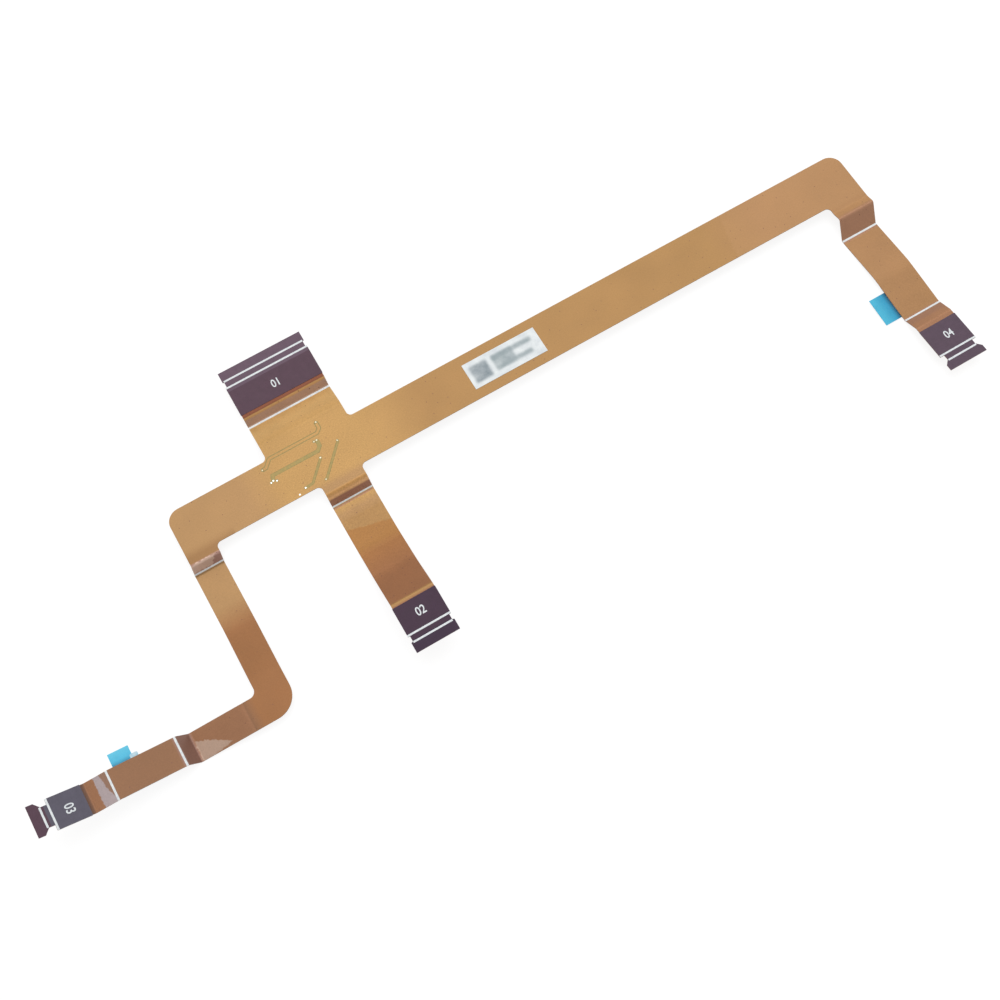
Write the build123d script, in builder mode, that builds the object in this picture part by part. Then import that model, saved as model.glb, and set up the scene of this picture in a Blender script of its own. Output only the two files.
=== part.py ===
"""Touchpad cable: a branched flexible circuit with four stiffened ends and formed bends.

Lengths are in millimetres. While it is built, x runs along the trunk and is zero at the
reader branch's outer edge, y is zero on the trunk's centreline and z is zero on the floor
that the cable lies on. A branch's side profile is a list of (reach, height) points on its
underside, where reach is the distance out from the trunk's centreline or, on the reader
branch's lower run, from the reader branch's outer edge.
"""

import os
from dataclasses import dataclass

from build123d import *

# Laminate, from the floor side up
bottom_coverlay_thickness = 0.07
base_film_thickness = 0.05
top_coverlay_thickness = 0.07
copper_thickness = 0.03
stiffener_thickness = 0.10
ink_thickness = 0.02
copper_edge_margin = 0.45
signal_edge_margin = 0.60

# Trunk
trunk_left = 0.4
trunk_length = 173.9
trunk_width = 11.4
trunk_height = 2.8
trunk_corner_radius = 3.1
root_stub = 1.5
root_fillet_small = 1.1
root_fillet_large = 1.5

# Places of the branches along the trunk, and their widths
board_left = 25.3
board_width = 20.3
touchpad_left = 32.7
touchpad_width = 9.9
antenna_width = 9.3
antenna_root_shift = 1.05
reader_width = 6.9
reader_root_shift = 0.4
reader_run_width = 6.7
reader_run_root_shift = 0.55

# The reader branch's corner, where it turns to run beside the trunk
reader_corner_reach = 39.3
reader_corner_height = 1.9
reader_corner_radius = 5.2
reader_corner_stub = 2.0
reader_corner_lead = 1.6
reader_corner_ramp = 1.4

# Stiffened ends: length, notched neck, bar with locking ears, and the contacts below
board_end_length = 11.35
touchpad_end_length = 10.6
antenna_end_length = 11.3
reader_end_length = 11.0
end_shoulder = 0.1
end_bar_length = 2.55
neck_length = 1.25
board_neck_depth = 0.35
touchpad_neck_depth = 0.45
antenna_neck_depth = 1.05
reader_neck_depth = 1.2
square_ear = 0.2
sloped_ear = 1.1
contact_window = 3.1
contact_pitch = 0.5
contact_width = 0.3
contact_thickness = 0.05
contact_edge_gap = 0.08
contact_tip_gap = 0.2

# Printed marks
insertion_line_width = 0.42
folding_line_width = 0.45

# Traces and vias in the crossing
fine_trace_width = 0.14
single_trace_width = 0.2
broad_trace_width = 0.55
trace_gap = 0.16
via_radius = 0.14
via_sides = 8

# Label on the trunk
label_left = 72.9
label_length = 18.4
label_width = 6.7
label_thickness = 0.08

# Adhesive pads, their release liners and the pull tabs, all on the underside
adhesive_thickness = 0.05
liner_thickness = 0.05
pull_tab_thickness = 0.05
pad_edge_gap = 0.4
pull_tab_overlap = 1.6

# Heights of the layers above the underside of the laminate
base_low = bottom_coverlay_thickness
base_high = base_low + base_film_thickness
top_high = base_high + top_coverlay_thickness
signal_low = base_low - copper_thickness
ground_high = base_high + copper_thickness
stiffener_high = top_high + stiffener_thickness

# Height above the floor that nothing reaches
room_height = 15.0


@dataclass
class Branch:
    """A strip that leaves the trunk, its folded side profile and its stiffened end."""

    name: str
    centre: float
    width: float
    out: Vector
    points: list
    radii: list
    end_length: float = 0.0
    neck_depth: float = 0.0
    ear_slope: float = 0.0
    root_shift: float = 0.0
    shift_bend: int = 1

    @property
    def bar_start(self):
        """Distance from the start of the stiffened end to its bar."""
        return self.end_length - end_bar_length

    @property
    def neck_start(self):
        """Distance from the start of the stiffened end to its notched neck."""
        return self.bar_start - neck_length

    @property
    def body_width(self):
        """Width of the stiffened body."""
        return self.width + 2 * end_shoulder

    @property
    def neck_width(self):
        """Width between the two notches."""
        return self.body_width - 2 * self.neck_depth

    @property
    def middle(self):
        """Where the strip's centreline meets the zero of its reach."""
        return Vector(self.centre, 0, 0) if self.out.X == 0 else Vector(0, self.centre, 0)

    def reach(self, index):
        """Reach of one point of the side profile."""
        return self.points[index][0]

    def plane(self):
        """Plane of the side profile: x is the reach and y the height."""
        return Plane(origin=self.middle, x_dir=self.out, z_dir=self.out.cross(Vector(0, 0, 1)))

    def plan(self):
        """Plane of the floor: x is the reach and y points to the side that the root is on."""
        return Plane(origin=self.middle, x_dir=self.out, z_dir=(0, 0, 1))

    def on_run(self, index, along=0.0, lift=0.0):
        """Plane on one straight run: x follows the branch outwards and z is its upper side."""
        start = Vector(*self.points[index])
        run = (Vector(*self.points[index + 1]) - start).normalized()
        spot = start + run * along + Vector(-run.Y, run.X) * lift
        side = self.plane()
        direction = side.x_dir * run.X + side.y_dir * run.Y
        upper = side.y_dir * run.X - side.x_dir * run.Y
        return Plane(origin=side.from_local_coords(spot), x_dir=direction, z_dir=upper)

    def end_plane(self, lift=0.0):
        """Plane of the stiffened end, with its origin where the end starts."""
        last = len(self.points) - 2
        run = Vector(*self.points[-1]) - Vector(*self.points[-2])
        return self.on_run(last, run.length, lift)


@dataclass
class Jumper:
    """A run of fine copper in the crossing: its turning points and the traces side by side."""

    points: list
    lanes: int = 1
    trace_width: float = single_trace_width

    @property
    def band_width(self):
        """Width of the traces and the gaps beside them."""
        return self.lanes * (self.trace_width + trace_gap) + trace_gap

    def lane_shifts(self):
        """How far each trace lies to the side of the turning points."""
        pitch = self.trace_width + trace_gap
        return [(lane - (self.lanes - 1) / 2) * pitch for lane in range(self.lanes)]


@dataclass
class Backing:
    """An adhesive pad with its liner and pull tab, measured along one straight run."""

    branch: Branch
    run: int
    pad_start: float
    pad_length: float
    tab_start: float
    tab_length: float
    tab_reach: float


def shifted(points, radii, rise):
    """The corners and bend radii of a line, moved by rise to its left."""
    spots = [Vector(*point) for point in points]
    runs = [(b - a).normalized() for a, b in zip(spots, spots[1:])]
    normals = [Vector(-run.Y, run.X) for run in runs]
    corners = [spots[0] + normals[0] * rise]
    new_radii = []
    for spot, radius, before, after in zip(spots[1:-1], radii, normals, normals[1:]):
        corners.append(spot + (before + after) * (rise / (1 + before.dot(after))))
        bends_up = before.cross(after).Z > 0
        new_radii.append(radius - rise if bends_up else radius + rise)
    corners.append(spots[-1] + normals[-1] * rise)
    return corners, new_radii


def plan_outline(branch, margin):
    """Outline of a folded strip from above, with the slant between its root and its end."""
    half = branch.width / 2 - margin
    shift = branch.root_shift
    stations = [
        (branch.reach(0), shift),
        (branch.reach(branch.shift_bend), shift),
        (branch.reach(branch.shift_bend + 1), 0),
        (branch.reach(-1) + branch.end_length, 0),
    ]
    near_side = [(reach, side - half) for reach, side in stations]
    far_side = [(reach, side + half) for reach, side in reversed(stations)]
    with BuildSketch() as outline:
        with BuildLine():
            Polyline(*near_side, *far_side, close=True)
        make_face()
    return outline.sketch


def folded_strip(branch, low, high, margin=0.0):
    """One layer of a branch between its root and its stiffened end."""
    lower_corners, lower_radii = shifted(branch.points, branch.radii, low)
    upper_corners, upper_radii = shifted(branch.points, branch.radii, high)
    with BuildPart() as strip:
        with BuildSketch(branch.plane()):
            with BuildLine():
                FilletPolyline(*lower_corners, radius=lower_radii)
                FilletPolyline(*upper_corners, radius=upper_radii)
                Line(lower_corners[0], upper_corners[0])
                Line(lower_corners[-1], upper_corners[-1])
            make_face()
        extrude(amount=branch.width / 2 - margin + branch.root_shift, both=True)
        if branch.root_shift:
            with BuildSketch(branch.plan()):
                add(plan_outline(branch, margin))
            extrude(amount=room_height, mode=Mode.INTERSECT)
    return strip.part


def end_outline(branch, start=0.0, stop=None, margin=0.0):
    """Outline of a stiffened end: a wide body, a notched neck and a bar with locking ears."""
    body = branch.body_width / 2
    neck = branch.neck_width / 2
    with BuildSketch() as outline:
        with BuildLine():
            half = Polyline(
                (0, 0),
                (0, branch.width / 2),
                (end_shoulder, body),
                (branch.neck_start, body),
                (branch.neck_start, neck),
                (branch.bar_start, neck),
                (branch.bar_start + branch.ear_slope, body),
                (branch.end_length, body),
                (branch.end_length, 0),
            )
            mirror(half, about=Plane.XZ)
        make_face()
        if stop is not None:
            reach = stop - start
            with Locations((start + reach / 2, 0)):
                Rectangle(reach, branch.width - 2 * margin, mode=Mode.INTERSECT)
    return outline.sketch


def end_layer(branch, low, high, start=0.0, stop=None, margin=0.0):
    """One flat layer of a stiffened end."""
    with BuildPart() as layer:
        with BuildSketch(branch.end_plane(low)):
            add(end_outline(branch, start, stop, margin))
        extrude(amount=high - low)
    return layer.part


root_reach = trunk_width / 2 + root_stub
trunk_right = trunk_left + trunk_length
board = Branch(
    "board",
    board_left + board_width / 2,
    board_width,
    Vector(0, 1, 0),
    [
        (root_reach, trunk_height),
        (9.9, trunk_height),
        (15.6, 0),
        (16.3, 0),
        (17.7, 1.95),
        (18.5, 2.03),
    ],
    [5.0, 1.0, 0.6, 0.6],
    board_end_length,
    board_neck_depth,
    square_ear,
)
touchpad = Branch(
    "touchpad",
    touchpad_left + touchpad_width / 2,
    touchpad_width,
    Vector(0, -1, 0),
    [
        (root_reach, trunk_height),
        (8.3, trunk_height),
        (10.5, 0),
        (22.0, 0),
        (31.0, 2.7),
        (38.5, 7.3),
        (39.3, 7.28),
    ],
    [0.8, 0.8, 12.0, 12.0, 0.8],
    touchpad_end_length,
    touchpad_neck_depth,
    square_ear,
)
antenna = Branch(
    "antenna",
    trunk_right - antenna_width / 2 - antenna_root_shift,
    antenna_width,
    Vector(0, -1, 0),
    [
        (root_reach, trunk_height),
        (7.8, trunk_height),
        (9.8, 3.4),
        (13.4, 0),
        (14.4, 0),
        (25.5, 1.1),
        (37.5, 0.35),
        (41.0, 2.15),
        (42.2, 2.25),
    ],
    [1.8, 0.8, 0.8, 4.0, 20.0, 1.0, 1.0],
    antenna_end_length,
    antenna_neck_depth,
    sloped_ear,
    antenna_root_shift,
    2,
)
reader_upper = Branch(
    "reader_upper",
    reader_width / 2,
    reader_width,
    Vector(0, -1, 0),
    [
        (root_reach, trunk_height),
        (7.7, trunk_height),
        (9.2, 0),
        (24.0, 0),
        (reader_corner_reach - reader_corner_lead - reader_corner_ramp, reader_corner_height),
        (reader_corner_reach - reader_corner_lead, reader_corner_height),
    ],
    [0.5, 0.5, 15.0, 15.0],
    root_shift=reader_root_shift,
)
reader = Branch(
    "reader",
    reader_run_root_shift - reader_corner_reach - reader_run_width / 2,
    reader_run_width,
    Vector(-1, 0, 0),
    [
        (reader_corner_stub, reader_corner_height),
        (3.3, reader_corner_height),
        (15.4, 0),
        (16.1, 0),
        (18.2, 3.0),
        (32.5, 6.0),
        (37.7, 6.0),
        (38.5, 6.37),
    ],
    [10.0, 2.0, 0.6, 0.6, 3.0, 0.8],
    reader_end_length,
    reader_neck_depth,
    sloped_ear,
    reader_run_root_shift,
)
branches = [board, touchpad, antenna, reader_upper, reader]
at_the_trunk = [board, touchpad, antenna, reader_upper]
ended = [board, touchpad, antenna, reader]


def is_trunk_end(x):
    """Whether x lies in the rounded outer corner at one end of the trunk."""
    return min(x - trunk_left, trunk_right - x) < trunk_corner_radius + 0.001


def trunk_outline(margin):
    """Flat outline of the trunk with the four roots, drawn in by margin at its edges."""
    half = trunk_width / 2
    with BuildSketch() as outline:
        with Locations((trunk_left + trunk_length / 2, 0)):
            Rectangle(trunk_length, trunk_width)
        ends = outline.vertices().group_by(Axis.Y)[-1]
        fillet(ends, trunk_corner_radius)
        for branch in at_the_trunk:
            with Locations((branch.centre + branch.root_shift, branch.out.Y * root_reach / 2)):
                Rectangle(branch.width, root_reach)
        corners = outline.vertices().filter_by(lambda v: abs(abs(v.Y) - half) < 0.001)
        inner = corners.filter_by(lambda v: trunk_left + 0.001 < v.X < trunk_right - 0.001)
        inner = inner.filter_by(lambda v: not (v.Y > 0 and is_trunk_end(v.X)))
        fillet(inner, root_fillet_small)
        if margin:
            offset(amount=-margin)
            for branch in at_the_trunk:
                spot = branch.centre + branch.root_shift
                with Locations((spot, branch.out.Y * (root_reach - margin))):
                    Rectangle(branch.width - 2 * margin, 2 * margin)
    return outline.sketch


def corner_outline(margin):
    """Flat outline of the reader branch's corner, drawn in by margin at its edges."""
    inner_start = reader_corner_reach - reader_corner_lead
    outer = reader_corner_reach + reader_run_width
    with BuildSketch() as outline:
        with BuildLine():
            Polyline(
                (0, -inner_start),
                (reader_width, -inner_start),
                (reader_width, -outer),
                (-reader_corner_stub, -outer),
                (-reader_corner_stub, -reader_corner_reach),
                (0, -reader_corner_reach),
                close=True,
            )
        make_face()
        fillet(outline.vertices().sort_by_distance((reader_width, -outer))[0], reader_corner_radius)
        fillet(
            outline.vertices().sort_by_distance((0, -reader_corner_reach))[0], root_fillet_large
        )
        if margin:
            offset(amount=-margin)
            with Locations((reader_width / 2, -inner_start - margin)):
                Rectangle(reader_width - 2 * margin, 2 * margin)
            with Locations((margin - reader_corner_stub, reader.centre - reader.root_shift)):
                Rectangle(2 * margin, reader_run_width - 2 * margin)
    return outline.sketch


def sheet(low, high, margin=0.0):
    """One layer of the folded circuit, without its stiffened ends."""
    strips = [folded_strip(branch, low, high, margin) for branch in branches]
    with BuildPart() as layer:
        with BuildSketch(Plane.XY.offset(trunk_height + low)):
            add(trunk_outline(margin))
        extrude(amount=high - low)
        with BuildSketch(Plane.XY.offset(reader_corner_height + low)):
            add(corner_outline(margin))
        extrude(amount=high - low)
        add(strips)
    return layer.part


def space_between(branch, start, stop):
    """The whole space between two reaches of a branch, for cutting its layers."""
    with BuildPart() as space:
        with BuildSketch(branch.plane()):
            with Locations(((start + stop) / 2, 0)):
                Rectangle(stop - start, 2 * room_height)
        extrude(amount=branch.width, both=True)
    return space.part


def plate_on(branch, index, start, length, width, low, high, shift=0.0):
    """A flat rectangular piece on one straight run of a branch."""
    with BuildPart() as plate:
        with BuildSketch(branch.on_run(index, 0, low)):
            with Locations((start + length / 2, shift)):
                Rectangle(length, width)
        extrude(amount=high - low)
    return plate.part


def flat_run(points, width, shift=0.0):
    """A flat run of the upper copper along points, moved sideways by shift."""
    plain = [0] * len(points)
    left_side, _ = shifted(points, plain, shift + width / 2)
    right_side, _ = shifted(points, plain, shift - width / 2)
    with BuildPart() as run:
        with BuildSketch(Plane.XY.offset(trunk_height + base_high)):
            with BuildLine():
                Polyline(*left_side, *reversed(right_side), close=True)
            make_face()
        extrude(amount=copper_thickness)
    return run.part


def discs_at(spots, radius, low, high):
    """Small discs of the same radius in the crossing."""
    with BuildPart() as discs:
        with BuildSketch(Plane.XY.offset(trunk_height + low)):
            with Locations(*spots):
                RegularPolygon(radius, via_sides)
        extrude(amount=high - low)
    return discs.part


def finish(piece, name):
    """Label a finished piece and keep it for the export."""
    piece.part.label = name
    finished.append(piece)


finished = []

# Jumpers at the crossing, from the board branch's left edge and the trunk's centreline
corner = board_left
long_jumper = Jumper(
    [
        (corner + 13.4, 8.2),
        (corner + 13.4, 6.4),
        (corner + 12.5, 5.6),
        (corner + 0.7, 5.6),
        (corner - 0.9, 4.1),
        (corner - 1.9, 4.1),
    ],
    trace_width=broad_trace_width,
)
wide_jumper = Jumper(
    [
        (corner + 11.6, 4.3),
        (corner + 11.6, 2.9),
        (corner + 10.7, 2.0),
        (corner - 0.5, 2.0),
        (corner - 0.9, 0.7),
    ],
    lanes=3,
    trace_width=fine_trace_width,
)
elbow_jumper = Jumper([(corner + 10.4, 0.2), (corner + 6.2, -4.2), (corner + 4.4, -4.4)])
straight_jumper = Jumper([(corner + 15.5, 1.9), (corner + 9.1, -4.9)])
jumpers = [long_jumper, wide_jumper, elbow_jumper, straight_jumper]
vias = [jumper.points[0] for jumper in jumpers] + [jumper.points[-1] for jumper in jumpers]
vias += [(corner + 10.9, 4.3), (corner - 1.5, 0.5), (corner - 0.2, 0.3)]

# Stretches of each branch where the ground copper is left away, around its bends
bare_stretches = [
    (board, board.reach(2) - 0.2, board.reach(5) + 1.0),
    (touchpad, touchpad.reach(1) - 0.3, touchpad.reach(2) + 0.4),
    (touchpad, touchpad.reach(5) - 0.5, touchpad.reach(6) + 1.0),
    (antenna, antenna.reach(2) - 0.2, antenna.reach(3) + 0.5),
    (antenna, antenna.reach(6) - 0.3, antenna.reach(8) + 1.0),
    (reader_upper, reader_upper.reach(1) - 0.4, reader_upper.reach(2) + 0.2),
    (reader, reader.reach(2) - 0.2, reader.reach(4) + 0.4),
    (reader, reader.reach(5) - 0.2, reader.reach(7) + 1.0),
]

# Reach of each white folding line, beside a bend
folding_lines_at = [
    (board, board.reach(2) + 0.25),
    (touchpad, touchpad.reach(2)),
    (antenna, antenna.reach(3) + 0.3),
    (antenna, antenna.reach(6) + 0.15),
    (reader_upper, reader_upper.reach(2) - 0.1),
    (reader, reader.reach(4) + 0.2),
    (reader, reader.reach(5) + 0.3),
]

backings = [
    Backing(
        reader, run=4, pad_start=4.5, pad_length=9.6, tab_start=9.0, tab_length=4.4, tab_reach=2.9
    ),
    Backing(
        antenna, run=5, pad_start=2.4, pad_length=8.8, tab_start=4.0, tab_length=6.9, tab_reach=4.1
    ),
]

with BuildPart() as via_barrels:
    add(discs_at(vias, via_radius, base_low, base_high))
finish(via_barrels, "via_barrels")

with BuildPart() as base_film:
    add(sheet(base_low, base_high))
    add([end_layer(branch, base_low, base_high) for branch in ended])
    add(via_barrels.part, mode=Mode.SUBTRACT)
finish(base_film, "base_film")

with BuildPart() as jumper_traces:
    for jumper in jumpers:
        for shift in jumper.lane_shifts():
            add(flat_run(jumper.points, jumper.trace_width, shift))
    add(discs_at(vias, via_radius + trace_gap / 2, base_high, ground_high))
finish(jumper_traces, "jumper_traces")

with BuildPart() as ground_copper:
    add(sheet(base_high, ground_high, copper_edge_margin))
    for branch, start, stop in bare_stretches:
        add(space_between(branch, start, stop), mode=Mode.SUBTRACT)
    for jumper in jumpers:
        add(flat_run(jumper.points, jumper.band_width), mode=Mode.SUBTRACT)
    add(discs_at(vias, via_radius + 2 * trace_gap, base_high, ground_high), mode=Mode.SUBTRACT)
finish(ground_copper, "ground_copper")

with BuildPart() as signal_copper:
    add(sheet(signal_low, base_low, signal_edge_margin))
    for branch in ended:
        stop = branch.end_length - contact_window
        add(end_layer(branch, signal_low, base_low, 0, stop, signal_edge_margin))
finish(signal_copper, "signal_copper")

with BuildPart() as top_coverlay:
    add(sheet(base_high, top_high))
    add([end_layer(branch, base_high, top_high) for branch in ended])
    add(ground_copper.part, mode=Mode.SUBTRACT)
    add(jumper_traces.part, mode=Mode.SUBTRACT)
finish(top_coverlay, "top_coverlay")

with BuildPart() as bottom_coverlay:
    add(sheet(0, base_low))
    for branch in ended:
        add(end_layer(branch, 0, base_low, 0, branch.end_length - contact_window))
    add(signal_copper.part, mode=Mode.SUBTRACT)
finish(bottom_coverlay, "bottom_coverlay")

for branch in ended:
    with BuildPart() as stiffener:
        add(end_layer(branch, top_high, stiffener_high))
    finish(stiffener, f"{branch.name}_stiffener")

    room = branch.neck_width - contact_width - 2 * contact_edge_gap
    count = int(room / contact_pitch) + 1
    finger = contact_window - contact_tip_gap
    with BuildPart() as contacts:
        with BuildSketch(branch.end_plane(base_low - contact_thickness)):
            with Locations((branch.end_length - contact_tip_gap - finger / 2, 0)):
                with GridLocations(1, contact_pitch, 1, count):
                    Rectangle(finger, contact_width)
        extrude(amount=contact_thickness)
    finish(contacts, f"{branch.name}_contacts")

    with BuildPart() as insertion_lines:
        with BuildSketch(branch.end_plane(stiffener_high)):
            with Locations((branch.neck_start - insertion_line_width / 2, 0)):
                Rectangle(insertion_line_width, branch.body_width)
            with Locations((branch.bar_start + insertion_line_width / 2, 0)):
                Rectangle(insertion_line_width, branch.neck_width)
        extrude(amount=ink_thickness)
    finish(insertion_lines, f"{branch.name}_insertion_lines")

folding_marks = []
for branch, reach in folding_lines_at:
    start = reach - folding_line_width / 2
    stretch = space_between(branch, start, start + folding_line_width)
    folding_marks.append(folded_strip(branch, top_high, top_high + ink_thickness) & stretch)
with BuildPart() as folding_lines:
    add(folding_marks)
finish(folding_lines, "folding_lines")

with BuildPart() as label:
    with BuildSketch(Plane.XY.offset(trunk_height + top_high)):
        with Locations((label_left + label_length / 2, 0)):
            Rectangle(label_length, label_width)
    extrude(amount=label_thickness)
finish(label, "label")

liner_high = -adhesive_thickness
liner_low = liner_high - liner_thickness
tab_low = liner_low - pull_tab_thickness
for backing in backings:
    branch = backing.branch
    pad = (branch, backing.run, backing.pad_start, backing.pad_length)
    with BuildPart() as adhesive:
        add(plate_on(*pad, branch.width - 2 * pad_edge_gap, liner_high, 0))
    finish(adhesive, f"{branch.name}_adhesive")
    with BuildPart() as liner:
        add(plate_on(*pad, branch.width, liner_low, liner_high))
    finish(liner, f"{branch.name}_liner")
    tab = (branch, backing.run, backing.tab_start, backing.tab_length)
    tab_width = backing.tab_reach + pull_tab_overlap
    tab_shift = pull_tab_overlap - (branch.width + tab_width) / 2
    with BuildPart() as pull_tab:
        add(plate_on(*tab, tab_width, tab_low, liner_low, tab_shift))
    finish(pull_tab, f"{branch.name}_pull_tab")

# The origin moves to the middle of the finished cable's outline, at the floor
whole = finished[0].part.bounding_box()
for piece in finished[1:]:
    whole = whole.add(piece.part.bounding_box())
middle = (whole.min + whole.max) / 2
to_origin = Location((-middle.X, -middle.Y, -whole.min.Z))
os.makedirs("parts", exist_ok=True)
for piece in finished:
    piece.part.move(to_origin)
    export_step(piece.part, f"parts/{piece.part.label}.step")
print("overall", whole.size, "middle", middle, "floor", whole.min.Z)
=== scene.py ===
"""Looks of a touchpad cable: a branched flexible circuit with four stiffened ends.

Sizes are in millimetres unless a name says otherwise. The drawing's frame has x zero at the
reader strip's outer edge and y zero on the trunk's centreline, and z zero on the floor.
"""

import logging
import math
from dataclasses import dataclass, replace
from enum import Enum
from typing import Any

import bpy
from mathutils import Euler, Matrix, Vector


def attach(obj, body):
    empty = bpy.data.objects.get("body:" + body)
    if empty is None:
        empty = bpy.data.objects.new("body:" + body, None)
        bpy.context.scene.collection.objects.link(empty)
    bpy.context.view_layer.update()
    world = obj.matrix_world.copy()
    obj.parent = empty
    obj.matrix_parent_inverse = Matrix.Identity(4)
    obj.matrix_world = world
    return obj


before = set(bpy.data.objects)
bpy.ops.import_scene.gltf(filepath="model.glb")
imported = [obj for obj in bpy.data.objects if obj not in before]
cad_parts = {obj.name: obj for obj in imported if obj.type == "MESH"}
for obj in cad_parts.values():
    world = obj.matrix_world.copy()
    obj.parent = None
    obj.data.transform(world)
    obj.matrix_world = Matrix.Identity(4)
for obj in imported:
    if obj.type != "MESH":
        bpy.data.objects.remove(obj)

log = logging.getLogger("touchpad_cable")
MM = 0.001
DRAWING_ORIGIN = Vector((62.923, -11.834, 0.0))

Tree = bpy.types.NodeTree
Socket = bpy.types.NodeSocket
Pair = tuple[float, float]


class Heading(Enum):
    """Which way a strip leaves its root, seen from above."""

    RIGHT = (1.0, 0.0)
    UP = (0.0, 1.0)
    DOWN = (0.0, -1.0)
    LEFT = (-1.0, 0.0)


class Tone(Enum):
    """Named tones of the cable's films and prints, as sRGB hex."""

    # Lighter amber of the crossing: the film's copper tone with a painted highlight where the
    # flat film mirrors the lamp.
    CROSSING_LIT = "B28A53"
    TRUNK_LEFT = "A57F53"
    TRUNK = "A07949"
    TRUNK_FAR = "A47A51"
    # Painted sheen on the trunk's far end.
    FAR_SHEEN = "AC8358"
    # Board strip's slope, painted lighter: a painted sheen where the slope faced the lamp.
    BOARD_SLOPE_SHEEN = "CFA264"
    BOARD_FLANK_SHEEN = "D8AE71"
    BOARD_BARE = "B2917C"
    BOARD_ORANGE = "7A452C"
    PAD_RISE = "BE8E55"
    # Painted highlight along the touchpad strip's crease.
    PAD_CREASE_HIGHLIGHT = "E4B27C"
    PAD_BARE = "9C7059"
    PAD_GOLD = "9B6C39"
    PAD_SLOPE = "A57144"
    PAD_LOW = "9B6946"
    # Painted highlight on the antenna strip's crest.
    FAR_CREST_HIGHLIGHT = "B5875A"
    FAR_BARE = "A2775C"
    FAR_RAMP = "AA7B59"
    READER_ROOT = "936D44"
    READER_BARE = "A88376"
    # Painted sheen on the reader strip's bare band.
    READER_SHEEN = "CFB19E"
    READER_AMBER = "90613A"
    RUN_START = "986C4E"
    RUN_BARE = "8D6A5C"
    RUN_TONE = "825C40"
    # Painted reflection of the lamp on the reader run.
    RUN_REFLECTION_PATCH = "BCA392"
    # Painted reflection: the band between the reader run's folding lines, and its paler lower
    # part.
    RUN_REFLECTION_PLUM = "866654"
    RUN_REFLECTION_GREY = "A19597"
    RUN_ORANGE = "8E6244"
    CORE_AMBER = "9C6F4B"
    CORE_ORANGE = "96603C"
    COPPER = "C39660"
    GOLD = "E2BE74"
    SPECK = "6E4A40"
    GREEN_EDGE = "7A7145"
    GREEN_GAP = "8F8354"
    GREEN_LIGHT = "A28952"
    VIA_BRIGHT = "FFF8E0"
    PLUM = "543948"
    PLUM_ASH = "584554"
    PLUM_GREY = "675060"
    PLUM_DARK = "3D2339"
    PLUM_TIP = "341C36"
    SLATE = "5B5765"
    INK = "F6FBFB"
    PAPER = "DCE2E6"
    PRINT_DARK = "7B8991"
    PRINT_GREY = "96A4A8"
    CLEAR = "CBE2EA"
    CLEAR_BLUE = "9CCDE3"
    TAB_LIGHT = "4FBEE0"
    TAB_MID = "36A3CC"
    TAB_DARK = "1F5F80"
    TAB_PALE = "68D0EE"
    TAB_SKY = "55C2E6"
    TAB_SHADE = "3792B6"
    END_BROWN = "5F4436"


def linear(colour: str) -> tuple[float, float, float, float]:
    """Turn an sRGB hex colour into the linear values that a shader takes.

    Args:
        colour: Six hex digits, with or without a leading hash.

    Returns:
        Red, green, blue and an alpha of 1.
    """
    digits = colour.lstrip("#")
    parts = [int(digits[i : i + 2], 16) / 255 for i in (0, 2, 4)]
    low = [p / 12.92 if p <= 0.04045 else ((p + 0.055) / 1.055) ** 2.4 for p in parts]
    return (low[0], low[1], low[2], 1.0)


def add_node(
    tree: Tree,
    kind: str,
    settings: dict[Any, Any] | None = None,
    links: dict[Any, Socket] | None = None,
) -> bpy.types.Node:
    """Add one shader node with its settings and what feeds it.

    Args:
        tree: The material's or world's node tree.
        kind: The node's type, such as ShaderNodeMath.
        settings: Values by property name or by the name or number of an input.
        links: Output sockets by the name or number of the input that they feed.

    Returns:
        The new node.
    """
    node = tree.nodes.new(kind)
    for key, value in (settings or {}).items():
        if isinstance(key, str) and hasattr(node, key):
            setattr(node, key, value)
        else:
            node.inputs[key].default_value = value
    for key, socket in (links or {}).items():
        tree.links.new(socket, node.inputs[key])
    return node


def blend_tones(tree: Tree, share: Socket, first: Socket | Tone, second: Socket | Tone) -> Socket:
    """Mix two colours, each a tone or a socket, by a share of the second.

    Args:
        tree: The material's node tree.
        share: Share of the second colour, from 0 to 1.
        first: Colour where the share is 0.
        second: Colour where the share is 1.

    Returns:
        The mixed colour's socket.
    """
    settings: dict[Any, Any] = {"data_type": "RGBA"}
    links: dict[Any, Socket] = {0: share}
    for number, colour in ((6, first), (7, second)):
        if isinstance(colour, Tone):
            settings[number] = linear(colour.value)
        else:
            links[number] = colour
    return add_node(tree, "ShaderNodeMix", settings, links).outputs[2]


def maths(tree: Tree, operation: str, *values: Socket | float) -> Socket:
    """Result of one operation on sockets and numbers."""
    node = add_node(tree, "ShaderNodeMath", {"operation": operation})
    for number, value in enumerate(values):
        if isinstance(value, float):
            node.inputs[number].default_value = value
        else:
            tree.links.new(value, node.inputs[number])
    return node.outputs[0]


def both(tree: Tree, first: Socket, second: Socket) -> Socket:
    """Product of two masks: where both of them hold."""
    return maths(tree, "MULTIPLY", first, second)


def step_between(tree: Tree, value: Socket, low: float, high: float) -> Socket:
    """Rise from 0 at low to 1 at high, or fall where high is the lesser."""
    settings = {"From Min": low, "From Max": high, "interpolation_type": "SMOOTHSTEP"}
    return add_node(tree, "ShaderNodeMapRange", settings, {"Value": value}).outputs["Result"]


def step_at(tree: Tree, value: Socket, edge: float, softness: float) -> Socket:
    """Rise from 0 to 1 round an edge, or fall where the softness is negative."""
    return step_between(tree, value, edge - softness, edge + softness)


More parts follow.
